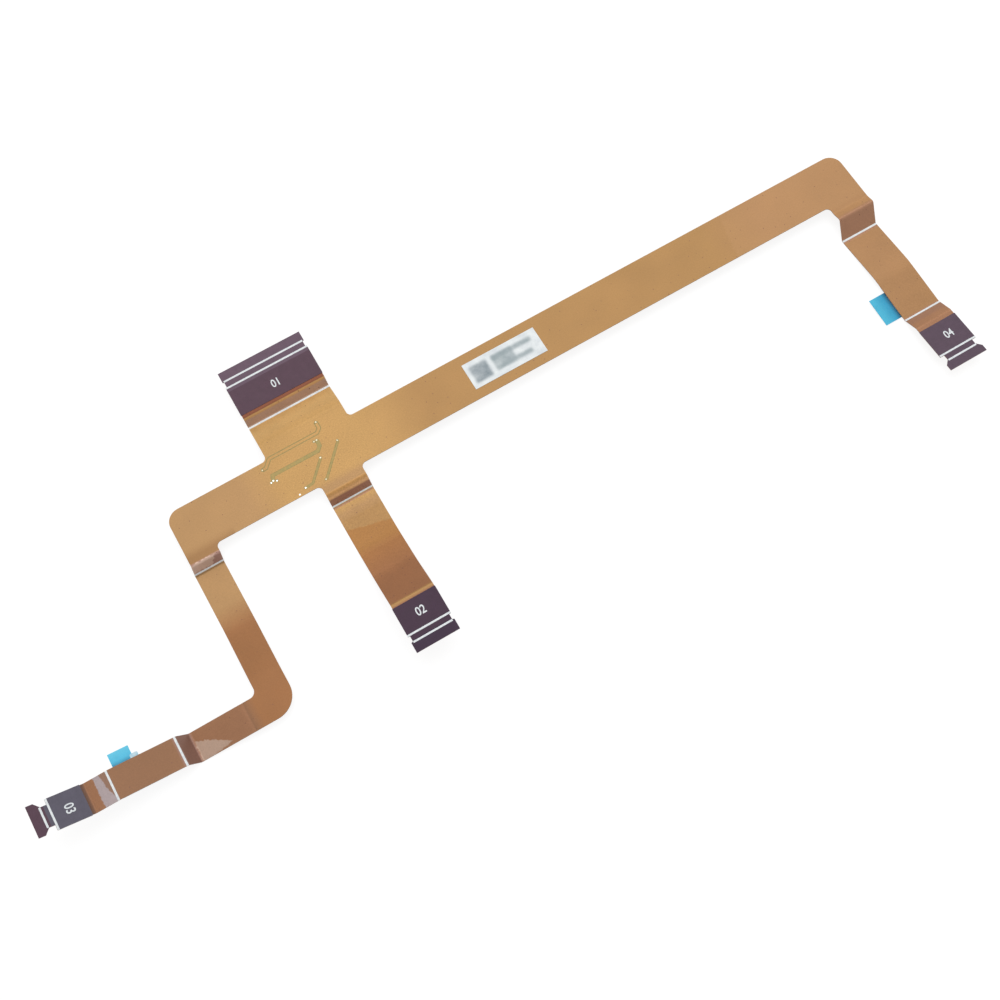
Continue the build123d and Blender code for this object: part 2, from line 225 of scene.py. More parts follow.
def scaled(tree: Tree, value: Socket, start: Pair, stop: Pair) -> Socket:
    """Stretch a value from one range to another, and hold it at the range's ends."""
    settings = {"From Min": start[0], "From Max": start[1], "To Min": stop[0], "To Max": stop[1]}
    return add_node(tree, "ShaderNodeMapRange", settings, {"Value": value}).outputs["Result"]


def along(tree: Tree, place: Socket, direction: Pair | Vector) -> Socket:
    """Distance of each point from the drawing's zero in a direction, seen from above."""
    settings = {"operation": "DOT_PRODUCT", 1: (*direction, 0.0)}
    return add_node(tree, "ShaderNodeVectorMath", settings, {0: place}).outputs["Value"]


def lightened(tree: Tree, shade: Socket, value: Socket) -> Socket:
    """Multiply a colour's brightness by a value."""
    links = {"Value": value, "Color": shade}
    return add_node(tree, "ShaderNodeHueSaturation", {}, links).outputs[0]


@dataclass(frozen=True)
class Stretch:
    """Tones of the film along one strip, by the distance out from its root.

    Each run has a start, an end and a tone, and blends into the next between them. Besides the
    film's own tones, some runs are painted light: painted highlights along creases and painted
    sheen on slopes that faced the lamp.
    """

    heading: Heading
    across: Pair
    takes_over: Pair
    runs: tuple[tuple[float, float, Tone], ...]
    side_softness: float = 0.01

    def reach(self, tree: Tree, place: Socket) -> Socket:
        """Distance along the strip at each point of its surface."""
        return along(tree, place, self.heading.value)

    def inside(self, tree: Tree, place: Socket, reach: Socket) -> Socket:
        """Mask that is 1 on the strip and falls to 0 at its root and beside it."""
        ahead, aside = self.heading.value
        cross = along(tree, place, (abs(aside), abs(ahead)))
        lower = step_at(tree, cross, self.across[0], self.side_softness)
        upper = step_at(tree, cross, self.across[1], -self.side_softness)
        root = step_between(tree, reach, *self.takes_over)
        return both(tree, both(tree, lower, upper), root)

    def ramp(self, tree: Tree, reach: Socket) -> Socket:
        """Colour of the film by the distance out from the root."""
        stops = [(end, tone) for *ends, tone in self.runs for end in sorted(set(ends))]
        first, last = stops[0][0], stops[-1][0]
        share = scaled(tree, reach, (first, last), (0.0, 1.0))
        ramp = add_node(tree, "ShaderNodeValToRGB", {}, {"Fac": share})
        marks = ramp.color_ramp.elements
        marks[1].color = linear(stops[-1][1].value)
        marks[0].color = linear(stops[0][1].value)
        for distance, tone in stops[1:-1]:
            mark = marks.new((distance - first) / (last - first))
            mark.color = linear(tone.value)
        return ramp.outputs["Color"]


@dataclass(frozen=True)
class Patch:
    """A patch of another tone: a convex outline, its corners in anticlockwise order."""

    tone: Tone
    corners: tuple[Pair, ...]
    share: float = 0.8
    softness: float = 0.12

    def mask(self, tree: Tree, place: Socket) -> Socket:
        """Mask of the patch, with soft edges."""
        ring = [Vector(corner) for corner in self.corners]
        inside = None
        for start, stop in zip(ring, ring[1:] + ring[:1]):
            run = (stop - start).normalized()
            inwards = Vector((-run.y, run.x))
            depth = along(tree, place, inwards)
            side = step_at(tree, depth, start.dot(inwards), self.softness)
            inside = side if inside is None else both(tree, inside, side)
        return maths(tree, "MULTIPLY", inside, self.share)


@dataclass(frozen=True)
class Finish:
    """A surface with a grain of two close tones, a fine bump and an uneven gloss."""

    name: str
    tone: Tone
    second: Tone
    grain: float = 0.8
    roughness: float = 0.45
    metallic: float = 0.0
    coat: float = 0.0
    bump: float = 0.004
    bump_size: float = 0.35
    gloss_size: float = 3.0
    gloss_depth: float = 0.06
    ior: float = 1.5
    shine: float = 0.5
    patches: tuple[Patch, ...] = ()

    def place(self, tree: Tree) -> Socket:
        """Point of the surface in the drawing's frame, in millimetres."""
        at = add_node(tree, "ShaderNodeTexCoord").outputs["Object"]
        settings = {"Location": DRAWING_ORIGIN, "Scale": (1 / MM, 1 / MM, 1 / MM)}
        return add_node(tree, "ShaderNodeMapping", settings, {"Vector": at}).outputs[0]

    def noise(self, tree: Tree, place: Socket, size: float) -> Socket:
        """Soft random pattern from 0 to 1, with spots of about the given size."""
        settings = {"Scale": 1 / size, "Detail": 3.0, "Roughness": 0.55}
        return add_node(tree, "ShaderNodeTexNoise", settings, {"Vector": place}).outputs[0]

    def clouds(self, tree: Tree, place: Socket, size: float, spread: Pair) -> Socket:
        """Noise of a size, spread between two values."""
        return scaled(tree, self.noise(tree, place, size), (0.3, 0.7), spread)

    def colour(self, tree: Tree, place: Socket) -> Socket:
        """Colour of the surface: two tones mixed by the grain, and its patches."""
        grain = step_between(tree, self.noise(tree, place, self.grain), 0.25, 0.75)
        return self.patched(tree, place, blend_tones(tree, grain, self.tone, self.second))

    def patched(self, tree: Tree, place: Socket, shade: Socket) -> Socket:
        """Lay the patches over a colour."""
        for patch in self.patches:
            shade = blend_tones(tree, patch.mask(tree, place), shade, patch.tone)
        return shade

    def material(self) -> bpy.types.Material:
        """Build the material, or return it where it was built before."""
        known = bpy.data.materials.get(self.name)
        if known:
            return known
        made = bpy.data.materials.new(self.name)
        made.use_nodes = True
        tree = made.node_tree
        shader = tree.nodes["Principled BSDF"]
        place = self.place(tree)
        tree.links.new(self.colour(tree, place), shader.inputs["Base Color"])
        spread = (self.roughness - self.gloss_depth, self.roughness + self.gloss_depth)
        gloss = scaled(tree, self.noise(tree, place, self.gloss_size), (0.0, 1.0), spread)
        tree.links.new(gloss, shader.inputs["Roughness"])
        bump = add_node(
            tree,
            "ShaderNodeBump",
            {"Strength": 0.6, "Distance": self.bump * MM},
            {"Height": self.noise(tree, place, self.bump_size)},
        )
        tree.links.new(bump.outputs[0], shader.inputs["Normal"])
        shader.inputs["Metallic"].default_value = self.metallic
        shader.inputs["Coat Weight"].default_value = self.coat
        shader.inputs["Coat Roughness"].default_value = 0.2
        shader.inputs["IOR"].default_value = self.ior
        shader.inputs["Specular IOR Level"].default_value = self.shine
        return made


@dataclass(frozen=True)
class CoverFilm(Finish):
    """Polyimide film over rolled copper: amber, with a soft metallic sheen from the copper.

    Where the copper stops short of a bend, the bare film is brown and dull. Small dark specks of
    dust and adhesive are caught under the film. The grain is painted in its strongest contrast at
    the crossing, as a painted shimmer where the film mirrors the lamp, and fades with the
    distance from there.
    """

    stretches: tuple[Stretch, ...] = ()
    speck_cell: float = 2.3
    speck_radius: float = 0.11
    shimmer_at: tuple[float, float, float] = (36.0, -5.0, 3.0)
    shimmer_fades: Pair = (26.0, 8.0)
    grain_strength: Pair = (0.3, 0.7)
    cloud_size: float = 6.0

    def colour(self, tree: Tree, place: Socket) -> Socket:
        """Tones along each strip, with a fine grain, broad clouds and specks."""
        trunk, *strips = self.stretches
        shade = trunk.ramp(tree, trunk.reach(tree, place))
        for strip in strips:
            reach = strip.reach(tree, place)
            mask = strip.inside(tree, place, reach)
            shade = blend_tones(tree, mask, shade, strip.ramp(tree, reach))
        shade = self.patched(tree, self.frayed(tree, place), shade)
        # Painted shimmer: the grain's contrast is strongest near the crossing and weaker further
        # away.
        settings = {"operation": "DISTANCE", 1: self.shimmer_at}
        away = add_node(tree, "ShaderNodeVectorMath", settings, {0: place}).outputs["Value"]
        strength = scaled(tree, away, self.shimmer_fades, self.grain_strength)
        fine = maths(tree, "SUBTRACT", self.noise(tree, place, self.grain), 0.5)
        broad = self.clouds(tree, place, self.cloud_size, (0.95, 1.05))
        value = maths(tree, "ADD", both(tree, fine, strength), broad)
        varied = lightened(tree, shade, value)
        return blend_tones(tree, self.specks(tree, place), varied, Tone.SPECK)

    def frayed(self, tree: Tree, place: Socket) -> Socket:
        """Point of the surface, moved at random by up to half a millimetre for torn edges."""
        settings = {"Scale": 1.2, "Detail": 2.0}
        wander = add_node(tree, "ShaderNodeTexNoise", settings, {"Vector": place})
        centred = add_node(
            tree,
            "ShaderNodeVectorMath",
            {"operation": "SUBTRACT", 1: (0.5, 0.5, 0.5)},
            {0: wander.outputs["Color"]},
        )
        return add_node(
            tree,
            "ShaderNodeVectorMath",
            {"operation": "MULTIPLY_ADD", 1: (1.0, 1.0, 0.0)},
            {0: centred.outputs[0], 2: place},
        ).outputs[0]

    def specks(self, tree: Tree, place: Socket) -> Socket:
        """Mask of sparse round specks, one in about a third of the cells."""
        settings = {"voronoi_dimensions": "2D", "Scale": 1 / self.speck_cell}
        cells = add_node(tree, "ShaderNodeTexVoronoi", settings, {"Vector": place})
        share = self.speck_radius / self.speck_cell
        dot = step_between(tree, cells.outputs["Distance"], share * 1.2, share * 0.6)
        draw = add_node(tree, "ShaderNodeSeparateColor", {}, {0: cells.outputs["Color"]})
        return both(tree, dot, step_between(tree, draw.outputs[0], 0.55, 1.0))


@dataclass(frozen=True)
class UnderFilm(Finish):
    """Polyimide film over the signal copper: parallel conductors show as fine stripes."""

    pitch: float = 0.5
    gap_edges: Pair = (0.18, 0.26)
    trunk_half: float = 5.7
    run_top: float = -39.3
    run_right: float = 12.0

    def colour(self, tree: Tree, place: Socket) -> Socket:
        """Stripes along each strip, lighter over the copper than between it."""
        spot = add_node(tree, "ShaderNodeSeparateXYZ", {}, {0: place})
        x, y = spot.outputs["X"], spot.outputs["Y"]
        off_trunk = step_at(tree, maths(tree, "ABSOLUTE", y), self.trunk_half, 0.01)
        below = step_between(tree, y, self.run_top, self.run_top - 0.02)
        left = step_between(tree, x, self.run_right, self.run_right - 0.02)
        on_strip = maths(tree, "SUBTRACT", off_trunk, both(tree, below, left))
        links = {0: on_strip, 2: y, 3: x}
        cross = add_node(tree, "ShaderNodeMix", {"data_type": "FLOAT"}, links).outputs[0]
        wave = maths(tree, "PINGPONG", cross, self.pitch / 2)
        line = step_between(tree, wave, *(self.pitch * edge for edge in self.gap_edges))
        grain = step_between(tree, self.noise(tree, place, self.grain), 0.3, 0.7)
        copper = blend_tones(tree, grain, self.tone, self.second)
        return blend_tones(tree, line, Tone.CORE_ORANGE, copper)


@dataclass(frozen=True)
class EndFilm(Finish):
    """Polyimide stiffener: smooth dark plum film, greyer where nothing lies under it."""

    heading: Heading = Heading.UP
    change_at: float = 0.0

    def colour(self, tree: Tree, place: Socket) -> Socket:
        """One tone up to the step in the layers below and another beyond it."""
        reach = along(tree, place, self.heading.value)
        beyond = step_at(tree, reach, self.change_at, 0.08)
        shade = blend_tones(tree, beyond, self.tone, self.second)
        return lightened(tree, shade, self.clouds(tree, place, self.grain, (0.93, 1.07)))


@dataclass(frozen=True)
class ShadedTabFilm(Finish):
    """Thin dyed polyester film, with painted shade where it slips under the strip."""

    dark: Tone = Tone.TAB_DARK
    heading: Heading = Heading.UP
    edge_at: float = 0.0
    fade: float = 1.2
    reach: float = 3.5
    cloud_size: float = 1.6

    def colour(self, tree: Tree, place: Socket) -> Socket:
        """Painted shade beside the strip's edge, lighter further out."""
        reach = along(tree, place, self.heading.value)
        # Painted shade: dark where the tab slips under the strip.
        near = step_between(tree, reach, self.edge_at - 0.2, self.edge_at + self.fade)
        far = step_between(tree, reach, self.edge_at + self.fade / 2, self.edge_at + self.reach)
        shade = blend_tones(tree, near, self.dark, self.tone)
        shade = blend_tones(tree, far, shade, self.second)
        return lightened(tree, shade, self.clouds(tree, place, self.cloud_size, (0.95, 1.05)))


@dataclass(frozen=True)
class LabelPaper(Finish):
    """Coated white label paper with soft grey printed fields: a square and three bars.

    Each field has its left, right, lower and upper side.
    """

    square: tuple[float, float, float, float] = (73.9, 78.2, -2.3, 2.1)
    bars: tuple[tuple[float, float, float, float], ...] = (
        (79.45, 89.5, 0.75, 2.0),
        (79.45, 88.7, -1.9, -0.75),
        (79.45, 84.6, -1.8, 2.0),
    )
    softness: float = 0.5
    cloud_size: float = 2.4

    def field(self, tree: Tree, spot: bpy.types.Node, box: tuple[float, ...]) -> Socket:
        """Mask of one rectangle with soft edges.

        Args:
            tree: The material's node tree.
            spot: Node that gives the point's x, y and z.
            box: Left, right, lower and upper side.

        Returns:
            The mask's socket.
        """
        sides = []
        for axis, low, high in (("X", box[0], box[1]), ("Y", box[2], box[3])):
            sides.append(step_at(tree, spot.outputs[axis], low, self.softness))
            sides.append(step_at(tree, spot.outputs[axis], high, -self.softness))
        return both(tree, both(tree, sides[0], sides[1]), both(tree, sides[2], sides[3]))

    def colour(self, tree: Tree, place: Socket) -> Socket:
        """Paper with its printed fields."""
        shade = Finish.colour(self, tree, place)
        spot = add_node(tree, "ShaderNodeSeparateXYZ", {}, {0: place})
        strength = self.clouds(tree, place, self.cloud_size, (0.55, 1.0))
        for box in (self.square, *self.bars):
            mask = both(tree, self.field(tree, spot, box), strength)
            tone = Tone.PRINT_DARK if box is self.square else Tone.PRINT_GREY
            shade = blend_tones(tree, mask, shade, tone)
        return shade


def clear_selection() -> None:
    """Leave object mode ready for a new piece, with nothing selected."""
    bpy.ops.object.select_all(action="DESELECT")


def settle(piece: bpy.types.Object, name: str, finish: Finish) -> None:
    """Name a finished piece, dress it and fix it to the cable.

    Args:
        piece: The piece, with its place in its mesh.
        name: Its name in the table of pieces.
        finish: What it is made of.
    """
    piece.name = name
    piece.data.name = name
    piece.data.materials.clear()
    piece.data.materials.append(finish.material())
    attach(piece, "root")
    log.info("%s: %d faces", name, len(piece.data.polygons))


def to_row(x: float, y: float, z: float) -> Vector:
    """Turn a place in the drawing's frame, in millimetres, into metres in the part's frame."""
    return (Vector((x, y, z)) - DRAWING_ORIGIN) * MM


def dress(names: list[str], finish: Finish) -> None:
    """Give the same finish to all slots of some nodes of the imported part."""
    for name in names:
        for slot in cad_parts[name].material_slots:
            slot.material = finish.material()
        log.info("%s: dressed in %s", name, finish.name)


def upper_face(node: str) -> tuple[Vector, Vector]:
    """Find the upper side of a flat node.

    Args:
        node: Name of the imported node.

    Returns:
        A point of its largest upward face, and that face's direction.
    """
    faces = [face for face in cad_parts[node].data.polygons if face.normal.z > 0.5]
    largest = max(faces, key=lambda face: face.area)
    return largest.center.copy(), largest.normal.copy()


def place_on(
    piece: bpy.types.Object, at: Pair, right: Vector, point: Vector, up: Vector
) -> None:
    """Lay a piece that was modelled flat at the origin on a tilted plane.

    Args:
        piece: The piece, whose mesh takes the place.
        at: Where its middle goes, in the drawing's frame from above.
        right: Direction that its x axis turns to, as far as the plane lets it.
        point: A point of the plane, in the part's frame.
        up: The plane's direction upwards.
    """
    right = (right - up * right.dot(up)).normalized()
    spot = to_row(*at, 0)
    spot.z = point.z - (up.x * (spot.x - point.x) + up.y * (spot.y - point.y)) / up.z
    turn = Matrix((right, up.cross(right), up)).transposed().to_4x4()
    piece.data.transform(Matrix.Translation(spot) @ turn)


def beside(points: list[Pair], shift: float) -> list[Pair]:
    """Move the corners of a line sideways, so that each of its runs moves by the same shift.

    Args:
        points: Corners of the line.
        shift: Distance to the left of its direction.

    Returns:
        Corners of the moved line.
    """
    spots = [Vector(point) for point in points]
    runs = [(b - a).normalized() for a, b in zip(spots, spots[1:])]
    normals = [Vector((-run.y, run.x)) for run in runs]
    moved = [spots[0] + normals[0] * shift]
    for spot, before, after in zip(spots[1:-1], normals, normals[1:]):
        moved.append(spot + (before + after) * (shift / (1 + before.dot(after))))
    moved.append(spots[-1] + normals[-1] * shift)
    return [(spot.x, spot.y) for spot in moved]


@dataclass
class JumperRelief:
    """The etched gap round one jumper, as it shows through the film: low crowned lines."""

    name: str
    points: list[Pair]
    width: float
    shifts: tuple[float, ...] = (0.0,)
    crown: float = 0.006
    smooth_below: float = math.radians(60)

    def line(self, shift: float, z: float) -> bpy.types.Object:
        """Model one crowned line along the jumper.

        Args:
            shift: Distance to the left of the jumper's middle.
            z: Height of the film's surface.

        Returns:
            The line's object, with its place in its mesh.
        """
        spots = [to_row(x, y, z) for x, y in beside(self.points, shift)]
        clear_selection()
        bpy.ops.mesh.primitive_plane_add(size=self.width * MM, location=spots[0])
        bpy.ops.object.mode_set(mode="EDIT")
        bpy.ops.mesh.merge(type="CENTER")
        for before, after in zip(spots, spots[1:]):
            step = tuple(after - before)
            bpy.ops.mesh.extrude_vertices_move(TRANSFORM_OT_translate={"value": step})
        bpy.ops.object.mode_set(mode="OBJECT")
        bpy.ops.object.convert(target="CURVE")
        curve = bpy.context.object.data
        curve.bevel_depth = self.width * MM / 2
        curve.bevel_resolution = 2
        curve.use_fill_caps = True
        bpy.ops.object.convert(target="MESH")
        line = bpy.context.object
        bpy.ops.object.transform_apply(location=True, rotation=True, scale=True)
        bpy.ops.object.mode_set(mode="EDIT")
        bpy.ops.mesh.select_all(action="SELECT")
        bpy.ops.mesh.remove_doubles(threshold=1e-6)
        flat = self.crown / (self.width / 2)
        bpy.ops.transform.resize(value=(1, 1, flat), center_override=spots[0])
        bpy.ops.mesh.normals_make_consistent(inside=False)
        bpy.ops.object.mode_set(mode="OBJECT")
        bpy.ops.object.shade_smooth_by_angle(angle=self.smooth_below)
        return line

    def build(self, z: float, finish: Finish) -> None:
        """Model and dress each line of the gap."""
        for number, shift in enumerate(self.shifts, start=1):
            settle(self.line(shift, z), f"{self.name}_{number}", finish)


@dataclass
class RoundRelief:
    """A low round form of a plated hole under the film, made from a cylinder's top.

    Each step goes inwards by a share of the radius and upwards by a share of the height.
    """

    name: str
    radius: float
    height: float
    steps: tuple[Pair, ...]
    sides: int = 16
    smooth_below: float = math.radians(50)

    def form(self, at: Pair, z: float) -> bpy.types.Object:
        """Model one at a place of the film's surface, with half its cylinder in the film."""
        clear_selection()
        bpy.ops.mesh.primitive_cylinder_add(
            vertices=self.sides,
            radius=self.radius * MM,
            depth=self.height * MM,
            location=to_row(*at, z),
        )
        piece = bpy.context.object
        bpy.ops.object.transform_apply(location=True, rotation=True, scale=True)
        bpy.ops.object.mode_set(mode="EDIT")
        bpy.ops.mesh.select_mode(type="FACE")
        bpy.ops.mesh.select_all(action="DESELECT")
        bpy.ops.object.mode_set(mode="OBJECT")
        for face in piece.data.polygons:
            face.select = face.normal.z > 0.9
        bpy.ops.object.mode_set(mode="EDIT")
        for inwards, upwards in self.steps:
            bpy.ops.mesh.inset(thickness=self.radius * MM * inwards)
            bpy.ops.transform.translate(value=(0, 0, self.height * MM * upwards))
        bpy.ops.object.mode_set(mode="OBJECT")
        bpy.ops.object.shade_smooth_by_angle(angle=self.smooth_below)
        return piece

    def build(self, z: float, spots: list[tuple[Pair, Finish]]) -> None:
        """Copy the first form to each place and dress it."""
        start = spots[0][0]
        first = self.form(start, z)
        for number, (spot, finish) in enumerate(spots, start=1):
            piece = first
            if number > 1:
                piece = first.copy()
                piece.data = first.data.copy()
                bpy.context.scene.collection.objects.link(piece)
                shift = (Vector(spot) - Vector(start)) * MM
                piece.data.transform(Matrix.Translation(shift.to_3d()))
            settle(piece, f"{self.name}_{number:02d}", finish)


@dataclass
class Laminate:
    """The folded circuit: base film, copper and the two cover films, with what shows through."""

    corner: float = 25.3
    film_top: float = 2.99
    trunk: Stretch = Stretch(
        Heading.RIGHT,
        (-5.7, 5.7),
        (-1.0, 0.0),
        (
            (0.0, 18.0, Tone.TRUNK_LEFT),
            # The crossing is partly a painted highlight: lighter where the flat film mirrors the
            # lamp.
            (26.0, 46.0, Tone.CROSSING_LIT),
            (62.0, 136.0, Tone.TRUNK),
            (150.0, 174.3, Tone.TRUNK_FAR),
        ),
    )
    board: Stretch = Stretch(
        Heading.UP,
        (24.0, 47.0),
        (4.0, 7.0),
        (
            # Painted highlight at the board strip's root, as at the crossing.
            (4.0, 9.0, Tone.CROSSING_LIT),
            # Painted sheen on the board strip's slope, up to the folding line.
            (10.6, 10.6, Tone.BOARD_SLOPE_SHEEN),
            (14.0, 15.9, Tone.BOARD_FLANK_SHEEN),
            (16.0, 17.2, Tone.BOARD_BARE),
            # Painted highlight along the crease, in the copper's tone.
            (17.35, 17.6, Tone.COPPER),
            (17.75, 32.0, Tone.BOARD_ORANGE),
        ),
    )
    touchpad: Stretch = Stretch(
        Heading.DOWN,
        (30.0, 45.0),
        (4.0, 7.0),
        (
            (4.0, 4.0, Tone.CROSSING_LIT),
            (6.5, 7.8, Tone.TRUNK_LEFT),
            (8.2, 8.55, Tone.PAD_RISE),
            # Painted highlight along the crease.
            (8.95, 9.15, Tone.PAD_CREASE_HIGHLIGHT),
            (9.35, 10.85, Tone.PAD_BARE),
            (11.2, 11.2, Tone.CROSSING_LIT),
            (13.0, 13.0, Tone.TRUNK_LEFT),
            (15.6, 15.6, Tone.TRUNK),
            (15.8, 22.0, Tone.PAD_GOLD),
            (24.0, 24.0, Tone.PAD_SLOPE),
            (31.0, 38.1, Tone.PAD_LOW),
            # Painted highlight along the crease above the stiffener, in the trunk's tone.
            (38.5, 38.8, Tone.TRUNK),
            (39.2, 50.0, Tone.RUN_ORANGE),
        ),
    )
    antenna: Stretch = Stretch(
        Heading.DOWN,
        (160.0, 178.0),
        (4.0, 7.0),
        (
            (4.0, 7.4, Tone.TRUNK_FAR),
            # Painted highlight on the crest of the rise.
            (8.0, 8.8, Tone.FAR_CREST_HIGHLIGHT),
            (9.7, 14.15, Tone.FAR_BARE),
            (14.5, 37.0, Tone.TRUNK_FAR),
            (37.25, 39.2, Tone.FAR_BARE),
            (39.8, 41.0, Tone.FAR_RAMP),
            (41.4, 54.0, Tone.RUN_START),
        ),
    )
    reader_upper: Stretch = Stretch(
        Heading.DOWN,
        (-4.0, 12.0),
        (3.0, 6.0),
        (
            (3.0, 3.0, Tone.TRUNK_LEFT),
            (6.0, 7.2, Tone.READER_ROOT),
            (7.5, 8.9, Tone.READER_BARE),
            (9.3, 18.0, Tone.TRUNK_LEFT),
            (24.0, 46.0, Tone.READER_AMBER),
        ),
    )
    reader_run: Stretch = Stretch(
        Heading.LEFT,
        (-50.0, -36.0),
        (-6.0, -1.0),
        (
            (-6.0, 1.0, Tone.READER_AMBER),
            (3.2, 3.2, Tone.RUN_TONE),
            (3.5, 15.4, Tone.RUN_START),
            (15.9, 18.75, Tone.RUN_BARE),
            (19.1, 32.3, Tone.RUN_TONE),
            # Painted reflection of the lamp across the flat band.
            (32.7, 35.6, Tone.RUN_REFLECTION_PLUM),
            (35.8, 37.5, Tone.RUN_ORANGE),
            (38.1, 38.1, Tone.END_BROWN),
            (50.0, 50.0, Tone.RUN_ORANGE),
        ),
    )
    # Painted reflections and painted sheen: patches where the glossy film mirrors the lamp.
    patches: tuple[Patch, ...] = (
        # Painted reflection of the lamp on the reader run's slope.
        Patch(
            Tone.RUN_REFLECTION_PATCH,
            ((-15.6, -41.0), (-15.6, -46.0), (-8.6, -45.0), (-12.2, -42.4), (-14.4, -41.4)),
            0.7,
            0.15,
        ),
        # Painted reflection, paler in the band's lower part.
        Patch(
            Tone.RUN_REFLECTION_GREY, ((-35.7, -38.0), (-35.7, -46.5), (-32.6, -46.5), (-34.7, -38.0)), 0.85
        ),
        # Painted sheen on the reader strip's bare band.
        Patch(
            Tone.READER_SHEEN, ((-1.0, -7.5), (-1.0, -8.8), (4.5, -8.8), (6.3, -7.5)), 0.85, 0.15
        ),
        # Painted reflection: the touchpad strip's upper part, lighter where the film mirrors the
        # lamp.
        Patch(
            Tone.TRUNK, ((28.0, -14.6), (28.0, -15.4), (47.0, -20.2), (47.0, -14.6)), 1.0, 0.2
        ),
        # Painted sheen over the trunk's far end.
        Patch(
            Tone.FAR_SHEEN, ((140.0, -6.5), (175.5, -6.5), (175.5, 6.5), (142.6, 6.5)), 0.3, 0.3
        ),
    )

    def jumper_reliefs(self) -> list[JumperRelief]:
        """The four jumpers of the crossing, from the board strip's left edge."""
        c = self.corner
        gap = 0.2
        edge = 0.4
        rim = 0.12
        long_path = [
            (c + 13.4, 8.2),
            (c + 13.4, 6.6),
            (c + 12.5, 5.77),
            (c + 0.6, 5.77),
            (c - 0.95, 4.15),
            (c - 1.9, 4.1),
        ]
        wide_path = [
            (c + 11.6, 4.3),
            (c + 11.6, 2.8),
            (c + 10.7, 1.87),
            (c - 0.5, 1.87),
            (c - 0.9, 0.7),
        ]
        elbow_path = [(c + 10.45, 0.15), (c + 6.3, -4.25), (c + 4.4, -4.45)]
        straight_path = [(c + 15.6, 1.8), (c + 9.25, -5.0)]
        return [
            JumperRelief("long_jumper_gap", long_path, gap, (-edge, edge)),
            JumperRelief("wide_jumper_band", wide_path, 0.88),
            JumperRelief("wide_jumper_edge", wide_path, rim, (-0.41, 0.41)),
            JumperRelief("elbow_jumper_band", elbow_path, 0.5),
            JumperRelief("elbow_jumper_edge", elbow_path, rim, (-0.25, 0.25)),
            JumperRelief("straight_jumper_band", straight_path, 0.5),
            JumperRelief("straight_jumper_edge", straight_path, rim, (-0.25, 0.25)),
        ]

    def vias(self, rim: Finish) -> None:
        """Model the plated holes at the jumpers' ends and beside them, and their rims."""
        # Plated hole that lies bare: a bright cream dot of metal.
        bright = Finish(
            "plated_via_bright", Tone.VIA_BRIGHT, Tone.INK, roughness=0.35, metallic=0.6
        )
        # Plated hole under the film: the same dot, dulled to olive and cream.
        muted = Finish(
            "plated_via_muted",
            Tone.GREEN_LIGHT,
            Tone.VIA_BRIGHT,
            grain=0.3,
            roughness=0.35,
            metallic=0.4,
        )
        c = self.corner
        bare = [(c - 0.9, 0.7), (c - 1.5, 0.5), (c - 0.2, 0.3), (c + 4.4, -4.4)]
        unrimmed = (c + 2.6, -5.15)
        covered = [
            (c - 1.9, 4.1),
            (c + 13.4, 8.2),
            (c + 10.9, 4.3),
            (c + 11.6, 4.3),
            (c + 10.4, 0.2),
            (c + 15.5, 1.9),
            (c + 9.1, -4.9),
        ]
        spots = [(spot, bright) for spot in (*bare, unrimmed)]
        spots += [(spot, muted) for spot in covered]
        dome = ((0.12, 0.25), (0.18, 0.12), (0.25, 0.0), (0.12, -0.2))
        RoundRelief("via_dome", 0.2, 0.03, dome).build(self.film_top, spots)
        rims = [(spot, rim) for spot in (*bare, *covered)]
        RoundRelief("via_rim", 0.33, 0.006, ((0.12, 0.25),)).build(self.film_top, rims)

    def build(self) -> None:
        """Dress the layers and add what shows through the upper film."""
        film = {"roughness": 0.36, "metallic": 0.3, "shine": 0.2}
        # Polyimide coverlay, hot-pressed over rolled copper: amber, with a low metallic sheen.
        # The film's grain is finer than 0.1 mm; it is drawn 0.3 mm wide so that it shows.
        strips = (self.board, self.touchpad, self.antenna, self.reader_upper, self.reader_run)
        top = CoverFilm(
            "polyimide_over_copper",
            Tone.TRUNK,
            Tone.TRUNK_FAR,
            grain=0.3,
            coat=0.06,
            stretches=(self.trunk, *strips),
            patches=self.patches,
            **film,
        )
        # The same coverlay over etched conductors: fine amber stripes along each strip.
        under = UnderFilm(
            "polyimide_over_conductors",
            Tone.TRUNK,
            Tone.CROSSING_LIT,
            roughness=0.38,
            metallic=0.25,
            coat=0.06,
            shine=0.2,
        )
        # Cast polyimide base film: a clear orange-brown line at the cut edges.
        core = Finish(
            "polyimide_core", Tone.CORE_AMBER, Tone.CORE_ORANGE, roughness=0.4, ior=1.7
        )
        # Rolled and annealed copper: a warm metallic line at the cut edges.
        copper = Finish(
            "rolled_copper", Tone.COPPER, Tone.CORE_ORANGE, roughness=0.3, metallic=1.0
        )
        # Film where the copper is etched away: light passes through, so it looks olive.
        gap = Finish("film_over_etched_gap", Tone.GREEN_GAP, Tone.GREEN_LIGHT, grain=0.6, **film)
        # The narrow etched outline of a jumper: the same, in shade and so darker.
        edge = Finish("film_over_gap_edge", Tone.GREEN_EDGE, Tone.GREEN_GAP, grain=0.6, **film)
        dress(["top_coverlay"], top)
        dress(["bottom_coverlay"], under)
        dress(["base_film"], core)
        dress(["ground_copper", "jumper_traces", "signal_copper", "via_barrels"], copper)
        for relief in self.jumper_reliefs():
            relief.build(self.film_top, edge if len(relief.shifts) > 1 else gap)
        self.vias(edge)


